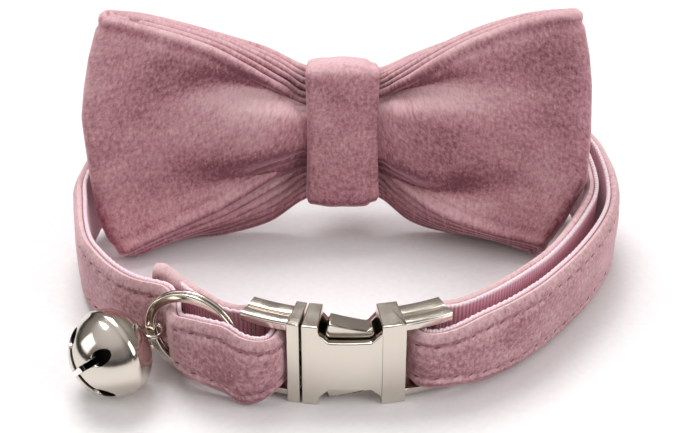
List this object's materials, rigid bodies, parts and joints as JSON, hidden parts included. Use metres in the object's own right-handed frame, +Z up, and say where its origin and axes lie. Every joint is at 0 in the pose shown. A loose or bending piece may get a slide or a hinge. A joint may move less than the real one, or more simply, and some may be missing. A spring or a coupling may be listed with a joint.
{
  "type": "cat collar",
  "caption": "Velvet cat collar closed in a loop, with a curved side-release buckle, a bow tie at the back, and a round bell on a split ring.",
  "frame": {"origin": "on the floor, below the middle of the whole collar's box", "axes": "+X along the buckle and the bow, to the right seen from the buckle's front; +Y from the buckle through the loop to the bow; +Z up from the floor to the bow's upper corners"},
  "size_m": [0.0904, 0.0618, 0.0422],
  "materials": {
    "dusty_rose_velvet": "velvet pile",
    "pale_pink_webbing": "ribbed weave with a white edge",
    "nickel_plate": "polished nickel"
  },
  "bodies": {
    "collar": {"strap_velvet": "dusty_rose_velvet", "strap_webbing": "pale_pink_webbing", "buckle_female": "nickel_plate", "buckle_male": "nickel_plate", "slide_adjuster": "nickel_plate", "split_ring": "nickel_plate", "bell": "nickel_plate", "bell_pellet": "nickel_plate", "bow_loops": "dusty_rose_velvet", "bow_knot": "dusty_rose_velvet", "bow_keeper": "dusty_rose_velvet"},
    "lever_top": {"release_lever_top": "nickel_plate"},
    "lever_bottom": {"release_lever_bottom": "nickel_plate"}
  },
  "joints": [
    {"name": "lever_top_press", "type": "hinge", "parent": "collar", "child": "lever_top", "pos_m": [-0.00652, -0.02496, 0.0097], "axis": [0.1987, 0.9801, 0], "range_deg": [0, 10], "stiffness_Nm_per_rad": 0.1},
    {"name": "lever_bottom_press", "type": "hinge", "parent": "collar", "child": "lever_bottom", "pos_m": [-0.00652, -0.02496, 0.0046], "axis": [-0.1987, -0.9801, 0], "range_deg": [0, 10], "stiffness_Nm_per_rad": 0.1}
  ]
}
